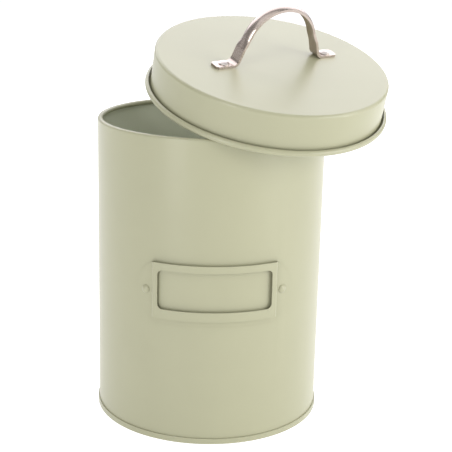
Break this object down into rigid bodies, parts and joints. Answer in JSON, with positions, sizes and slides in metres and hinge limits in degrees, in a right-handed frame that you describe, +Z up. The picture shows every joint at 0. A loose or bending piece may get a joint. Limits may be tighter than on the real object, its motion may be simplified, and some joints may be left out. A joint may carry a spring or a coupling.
{
  "type": "lidded canister",
  "caption": "Round painted-steel food canister with a slip-over lid, a strap handle and a riveted label holder.",
  "frame": {"origin": "centre of the standing ring under the base", "axes": "+Z up along the canister's axis; the label holder faces -Y"},
  "size_m": [0.2136, 0.1861, 0.311],
  "materials": {
    "body_coat": "matt powder coat",
    "base_coat": "matt powder coat",
    "label_coat": "matt powder coat",
    "lid_coat": "matt powder coat",
    "strap_steel": "brushed, satin",
    "rivet_steel": "polished, satin",
    "washer_steel": "plain zinc-grey"
  },
  "bodies": {
    "canister": {"canister_wall": "body_coat", "base_pan": "base_coat", "label_holder": "label_coat", "label_rivet_left": "label_coat", "label_rivet_right": "label_coat"},
    "lid": {"lid_shell": "lid_coat", "lid_handle": "strap_steel", "handle_rivet_left": "rivet_steel", "handle_rivet_right": "rivet_steel", "handle_washer_left": "washer_steel", "handle_washer_right": "washer_steel"}
  },
  "joints": [
    {"name": "lid_lift", "type": "slide", "parent": "canister", "child": "lid", "axis": [0, 0, 1], "range_m": [0, 0.15]}
  ]
}
